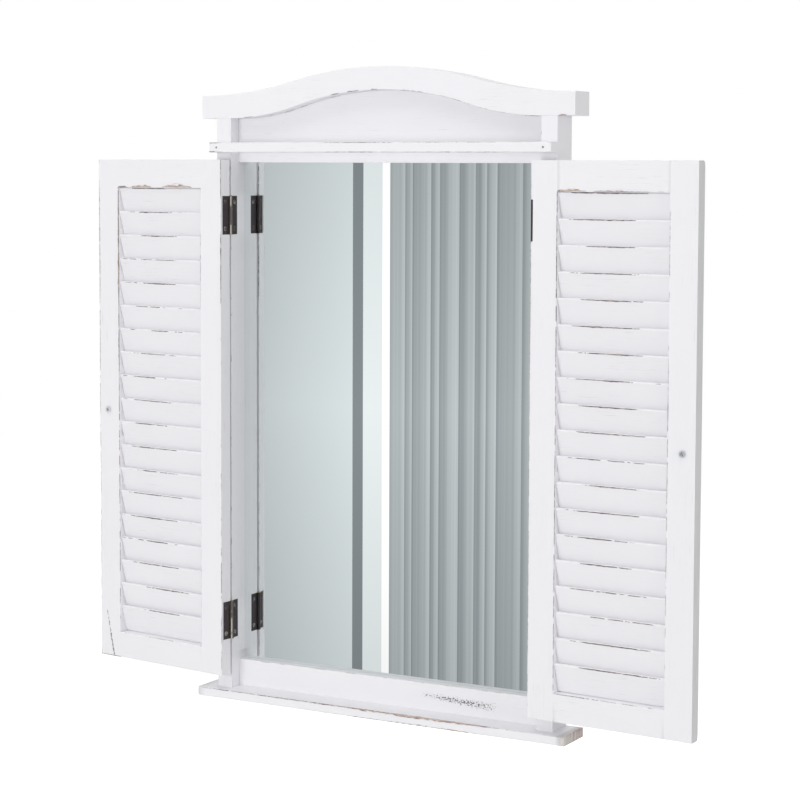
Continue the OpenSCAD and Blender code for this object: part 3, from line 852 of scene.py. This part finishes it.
def make_shutter_rail(side, part, opening_side, rub, patches):
    """A rail, eased and worn along the opening and left square where it meets the stiles."""
    name = side + "_shutter_" + part
    swing = swing_of(side)
    shape = worked_copy(side + "_" + part, swing)
    ease_arrises(shape, lambda middle, run: abs(run.z) > 0.9)
    slice_along(shape, X, step=0.006)
    note_wear(shape, name, X, (opening_side, "-y", "+y"), rub, patches)
    bmesh.ops.transform(shape, matrix=swing, verts=shape.verts)
    make_board(shape, name, side + "_shutter", side + "_" + part)


hinge_stile_wear = {
    "left": [(-0.04, 0.03, 0.5), (-0.14, 0.05, 0.6), (-0.4, 0.1, 0.15), (-0.54, 0.09, 0.3)],
    "right": [(-0.14, 0.12, 0.55), (-0.42, 0.19, 0.42)],
}
lock_stile_wear = {
    "left": [
        (-0.11, 0.07, 0.85), (-0.2, 0.07, 0.5), (-0.4, 0.2, 0.38), (-0.6025, 0.004, 0.8),
    ],
    "right": [(-0.1, 0.06, 0.3), (-0.22, 0.08, 0.2), (-0.37, 0.16, 0.42)],
}
lock_stile_scar = {
    "left": ((-0.181, inner_face, -0.547), (-0.1688, inner_face, -0.604)),
    "right": None,
}
top_rail_wear = {
    "left": [(-0.122, 0.018, 1.5), (-0.067, 0.024, 2.0), (-0.152, 0.008, 1.0)],
    "right": [(-0.046, 0.017, 1.6), (-0.091, 0.02, 0.9), (-0.125, 0.03, 0.4)],
}
bottom_rail_wear = {
    "left": [(-0.09, 0.03, 0.15)],
    "right": [(-0.06, 0.03, 0.4), (-0.12, 0.03, 0.2)],
}
lock_stile_worn = {
    "left": ("+x", "-x", "-y", "+y", "-z"),
    "right": ("+x", "-y", "+y", "-z"),
}
for side in ("left", "right"):
    make_stile(side, "hinge_stile", "-x", ("-x", "-y", "+y", "+x"), hinge_stile_wear[side])
    # The free edge's thin coat greys it, partly as painted shade.
    make_stile(
        side, "lock_stile", "+x", lock_stile_worn[side], lock_stile_wear[side],
        thin=(("-x", 0.42),), scar=lock_stile_scar[side],
    )
    make_shutter_rail(side, "top_rail", "-z", rub=0.15, patches=top_rail_wear[side])
    make_shutter_rail(side, "bottom_rail", "+z", rub=0.3, patches=bottom_rail_wear[side])

# ---- louvres -----------------------------------------------------------------------------
# Nineteen thin slats a shutter, planed round on their long edges and glued into slanted
# grooves. Each is rubbed through near the middle of its upper arris.

slat_count = 19
slat_w, slat_t, slat_round = 0.0315, 0.004, 0.0012
slat_tilt, slat_play = 15.5, 0.3
slat_reveal = 0.0022
slat_gap = 0.0002
slat_rise_play = 0.0001
groove_d = 0.004
# How far in from the corner of a slat's box the crest of its rounded edge lies.
crest_in = Vector((0, 0.00035, 0.00035))
# A shutter's usual dash: its centre, its half length, and how much further along it lies
# on each of the low slats than on the one above.
usual_dash = {"left": (-0.012, 0.054, 0.003), "right": (0.006, 0.052, -0.0045)}
low_slats = 4
dash_rub = {"left": 0.82, "right": 1.0}
heart_half = 0.012


def make_slats(side):
    """A shutter's slats, no two of them worn alike or set quite alike."""
    luck = random.Random(side + " slats")
    foot, head = opening_ends(side)
    tilt = math.radians(slat_tilt)
    fall, thick = slat_w * math.cos(tilt), slat_t * math.sin(tilt)
    pitch = (head - foot - fall - thick - 2 * slat_gap) / (slat_count - 1)
    length = shutter_w - 2 * stile_w + 2 * groove_d
    slats = bmesh.new()
    for n in range(slat_count):
        slat = bmesh.new()
        bmesh.ops.create_cube(slat, size=1)
        bmesh.ops.scale(slat, vec=(length, slat_t, slat_w), verts=slat.verts)
        long_edges = [
            e for e in slat.edges if abs(e.verts[0].co.x - e.verts[1].co.x) > length / 2
        ]
        round_edges(slat, long_edges, slat_round, segments=5)
        slice_along(slat, X, step=0.006)
        centre, half, drift = usual_dash[side]
        centre += drift * max(0, low_slats - n)
        dash = (
            centre + luck.uniform(-0.006, 0.006), half * luck.uniform(0.75, 1.1),
            luck.uniform(0.5, 0.7) * dash_rub[side],
        )
        heart = (centre + luck.uniform(-0.015, 0.015), heart_half, luck.uniform(0.0, 0.35))
        note_wear(
            slat, f"{side} slat {n}", X, ("+y", "+z"), rub=0.1, patches=[dash, heart],
            edges_at=lambda place, low, high: (low, high - crest_in),
        )
        turn = tilt + math.radians(luck.uniform(-slat_play, slat_play))
        top = foot + slat_gap + fall + n * pitch
        top += luck.uniform(-slat_rise_play, slat_rise_play)
        place = (
            Matrix.Translation((-shutter_w / 2, inner_face - slat_reveal, top))
            @ Matrix.Rotation(-turn, 4, "X")
            @ Matrix.Translation((0, -slat_t / 2, -slat_w / 2))
        )
        bmesh.ops.transform(slat, matrix=swing_of(side) @ place, verts=slat.verts)
        join_to(slats, slat)
    make_board(slats, side + "_louvres", side + "_shutter", side + "_slats")


make_slats("left")
make_slats("right")

# ---- hinges ------------------------------------------------------------------------------
# Small bronzed butt hinges with three knuckles, their leaves let in flush, and brass pins.
# The finish is rubbed off the screws' heads, and the knuckles carry a painted highlight.

axis_x, axis_y, _ = joint_of("right")["pos_m"]
knuckle_r = 0.0022
leaf_ease = 0.0002


def knuckle_highlight(tree, place):
    """A painted highlight on the knuckles on both sides: bright along a ridge that faces the
    opening and the viewer, broken here and there, with a fainter painted sheen round it."""
    toward_opening, toward_viewer = 0.5, 0.866
    x, y, _ = axes_of(tree, place)
    from_side = math_of(tree, "SUBTRACT", math_of(tree, "ABSOLUTE", x), axis_x)
    from_front = math_of(tree, "SUBTRACT", y, axis_y)
    squared = math_of(
        tree, "MULTIPLY_ADD", from_side, from_side,
        math_of(tree, "MULTIPLY", from_front, from_front),
    )
    distance = math_of(tree, "SQRT", squared)
    barrel = ramp_of(tree, distance, knuckle_r, knuckle_r * 1.08, 1.0, 0.0)
    # Painted highlight: brighter where the knuckle faces the opening and the viewer.
    outward = math_of(
        tree, "MULTIPLY_ADD", from_side, -toward_opening,
        math_of(tree, "MULTIPLY", from_front, -toward_viewer),
    )
    facing = math_of(tree, "DIVIDE", outward, distance)
    along = clouds_of(tree, place, (1.0, 1.0, 0.012), detail=1.0)
    ridge = ramp_of(tree, facing, 0.93, 0.985, 0.0, 0.75)
    ridge = math_of(tree, "MULTIPLY", ridge, ramp_of(tree, along, 0.44, 0.54))
    shine = math_of(tree, "ADD", ridge, ramp_of(tree, facing, 0.2, 0.9, 0.0, 0.12))
    return math_of(tree, "MULTIPLY", barrel, shine)


bronze = make_metal(
    "hinge_bronze", (0.05, 0.039, 0.043), (0.72, 0.68, 0.55),
    metallic=0.4, roughness=0.45, rubbed=0.38, painted_highlight=knuckle_highlight,
)
screw_bronze = make_metal(
    "screw_bronze", (0.1, 0.085, 0.085), (0.5, 0.48, 0.46),
    metallic=0.6, roughness=0.38, rubbed=0.25,
)
brass = make_metal(
    "pin_brass", (0.36, 0.28, 0.15), (0.75, 0.66, 0.42),
    metallic=1.0, roughness=0.35, rubbed=0.28,
)


def make_leaf(node, name, body):
    """A hinge leaf with its stamped edges slightly rounded."""
    leaf = worked_copy(node, in_place)
    round_edges(leaf, square_edges(leaf, 50), leaf_ease, segments=2)
    make_piece(leaf, name, body, "hinge_bronze", bronze, node)


for side in ("left", "right"):
    shutter = side + "_shutter"
    for level in ("upper", "lower"):
        make_leaf(f"{side}_{level}_frame_leaf", f"{side}_{level}_fixed_leaf", "frame")
        make_leaf(f"{side}_{level}_shutter_leaf", f"{side}_{level}_swinging_leaf", shutter)
        keep_node(f"{side}_{level}_hinge_pin", brass)
    make_screws(
        side + "_shutter_leaf_fixings", shutter, "hinge_bronze", screw_bronze,
        side + "_leaf_screws", swing_of(side), "+x",
    )
make_screws(
    "frame_leaf_fixings", "frame", "hinge_bronze", screw_bronze, "frame_leaf_screws",
    in_place, "|x",
)

# ---- knobs -------------------------------------------------------------------------------
# A low turned button on each shutter's outer face. A screw through the stile holds it from
# the inner face.

for side in ("left", "right"):
    keep_node(side + "_knob", bronze)
    make_screws(
        side + "_knob_fixing", side + "_shutter", "zinc_steel", zinc_steel,
        side + "_knob_screw", swing_of(side), "+y",
    )

# ---- studio ------------------------------------------------------------------------------
# A white floor well below the hanging mirror, soft lamps in front, above, at the right and
# behind, and glowing grey and white flats in front, with painted shading, that only the glass
# shows.

floor_z, floor_reach = -1.45, 7.0
floor_lift = 0.62
sky_level = 0.525
flats_y, flats_reach, flats_top = -1.65, 1.9, 0.9


def seen_directly(tree):
    """1 for what the camera sees, also in a mirror or through glass, and 0 for light."""
    path = node_of(tree, "ShaderNodeLightPath").outputs
    mirrored = math_of(tree, "MAXIMUM", path["Is Glossy Ray"], path["Is Transmission Ray"])
    return math_of(tree, "MAXIMUM", path["Is Camera Ray"], mirrored)


def make_flat(name, corners, material):
    """A flat sheet of the studio, which isn't part of the object."""
    shape = bmesh.new()
    shape.faces.new([shape.verts.new(c) for c in corners])
    mesh = bpy.data.meshes.new(name)
    shape.to_mesh(mesh)
    shape.free()
    mesh.materials.append(material)
    flat = bpy.data.objects.new(name, mesh)
    bpy.context.scene.collection.objects.link(flat)
    return flat


def make_floor_paint():
    """White lacquer that the camera sees a little brighter than the lamps alone make it."""
    material = empty_material("floor_paint")
    tree = material.node_tree
    matt = node_of(tree, "ShaderNodeBsdfDiffuse", (0.86, 0.86, 0.86, 1)).outputs[0]
    lift = math_of(tree, "MULTIPLY", seen_directly(tree), floor_lift)
    glow = node_of(tree, "ShaderNodeEmission", (1, 1, 1, 1), lift).outputs[0]
    both = node_of(tree, "ShaderNodeAddShader", matt, glow).outputs[0]
    node_of(tree, "ShaderNodeOutputMaterial", both)
    return material


make_flat(
    "floor",
    [
        (x * floor_reach, y * floor_reach, floor_z)
        for x, y in ((-1, -1), (1, -1), (1, 1), (-1, 1))
    ],
    make_floor_paint(),
)

world = bpy.data.worlds.new("studio")
bpy.context.scene.world = world
world.use_nodes = True
sky = world.node_tree
sky.nodes.clear()
around = node_of(sky, "ShaderNodeBackground", (1, 1, 1, 1), sky_level).outputs[0]
white = node_of(sky, "ShaderNodeBackground", (1, 1, 1, 1), 1.0).outputs[0]
shown = node_of(sky, "ShaderNodeMixShader", seen_directly(sky), around, white).outputs[0]
node_of(sky, "ShaderNodeOutputWorld", shown)


def bands_of(tree, x):
    """Plain upright bands of grey and white, given by where each begins and its tone."""
    bands_from, bands_to = -1.4, -0.9
    tones = [
        (-1.4, (0.35, 0.37, 0.385)), (-1.268, (0.17, 0.195, 0.21)), (-1.237, (0.7, 0.74, 0.755)),
        (-1.011, (0.245, 0.265, 0.28)), (-0.986, (0.82, 0.85, 0.86)), (-0.944, (1.14, 1.1, 1.11)),
        (-0.926, (0.0, 0.0, 0.0)),
    ]
    bands = node_of(tree, "ShaderNodeValToRGB", ramp_of(tree, x, bands_from, bands_to))
    marks = bands.color_ramp
    marks.interpolation = "CONSTANT"
    marks.elements[0].color = (*tones[0][1], 1)
    marks.elements.remove(marks.elements[1])
    for edge, tone in tones[1:]:
        mark = marks.elements.new((edge - bands_from) / (bands_to - bands_from))
        mark.color = (*tone, 1)
    return bands.outputs[0]


def shaded_folds_of(tree, place, x):
    """Soft upright folds with painted shading, dark at one side of each and light at the other, a
    little uneven in width.
    """
    fold_w = 0.031
    waver = clouds_of(tree, place, (0.05, 1.0, 60.0), detail=1.0)
    waver = math_of(tree, "MULTIPLY", waver, 2.2)
    fold = math_of(tree, "ADD", math_of(tree, "DIVIDE", x, fold_w), waver)
    fold = math_of(tree, "FRACT", fold)
    ripple = clouds_of(tree, place, (0.006, 1.0, 60.0), detail=2.0)
    fold = math_of(tree, "MULTIPLY_ADD", ripple, 0.7, fold)
    lit = ramp_of(tree, fold, 0.2, 1.45)
    return mix_of(tree, lit, (0.24, 0.262, 0.276), (0.56, 0.59, 0.605))


def make_glowing_flats():
    """A glow that no lamp lights: plain bands at the left and soft upright folds at the right,
    with painted shade toward the floor, toward the top and toward the left."""
    material = empty_material("glowing_flats")
    tree = material.node_tree
    place = object_place(tree)
    x, _, z = axes_of(tree, place)
    right_part = ramp_of(tree, x, -0.9265, -0.9255)
    colour = mix_of(tree, right_part, bands_of(tree, x), shaded_folds_of(tree, place, x))
    # Painted shade: the glow is dimmer toward the left, the floor and the top.
    sideways = ramp_of(tree, x, -1.237, -1.011, 0.86, 1.15)
    upward = ramp_of(tree, z, -1.05, -0.5, 0.79, 1.0)
    downward = ramp_of(tree, z, -0.5, 0.1, 1.0, 0.84)
    level = math_of(tree, "MULTIPLY", upward, downward)
    level = math_of(tree, "MULTIPLY", level, sideways)
    glow = node_of(tree, "ShaderNodeEmission", colour, level).outputs[0]
    node_of(tree, "ShaderNodeOutputMaterial", glow)
    return material


flats = make_flat(
    "flats",
    [
        (-flats_reach, flats_y, floor_z), (flats_reach, flats_y, floor_z),
        (flats_reach, flats_y, flats_top), (-flats_reach, flats_y, flats_top),
    ],
    make_glowing_flats(),
)
flats.visible_camera = False
flats.visible_diffuse = False
flats.visible_transmission = False
flats.visible_shadow = False


def make_lamp(name, place, aim, size, power):
    """A round soft lamp that points at a place and doesn't show in metal or glass."""
    data = bpy.data.lights.new(name, "AREA")
    data.shape = "DISK"
    data.size = size
    data.energy = power
    lamp = bpy.data.objects.new(name, data)
    lamp.location = place
    lamp.rotation_euler = (Vector(aim) - Vector(place)).to_track_quat("-Z", "Y").to_euler()
    bpy.context.scene.collection.objects.link(lamp)
    lamp.visible_glossy = False


make_lamp("key", (-0.55, -2.95, -0.15), (0, 0, -0.28), size=1.4, power=25.5)
make_lamp("overhead", (0, -1.1, 2.0), (0, -0.1, -0.4), size=1.8, power=17)
make_lamp("right_fill", (3.0, -0.9, 0.2), (0, 0, -0.3), size=1.2, power=12)
make_lamp("back_fill", (-1.0, 2.9, 0.5), (0, 0, -0.3), size=1.6, power=32)

bpy.context.scene.view_settings.view_transform = "Standard"
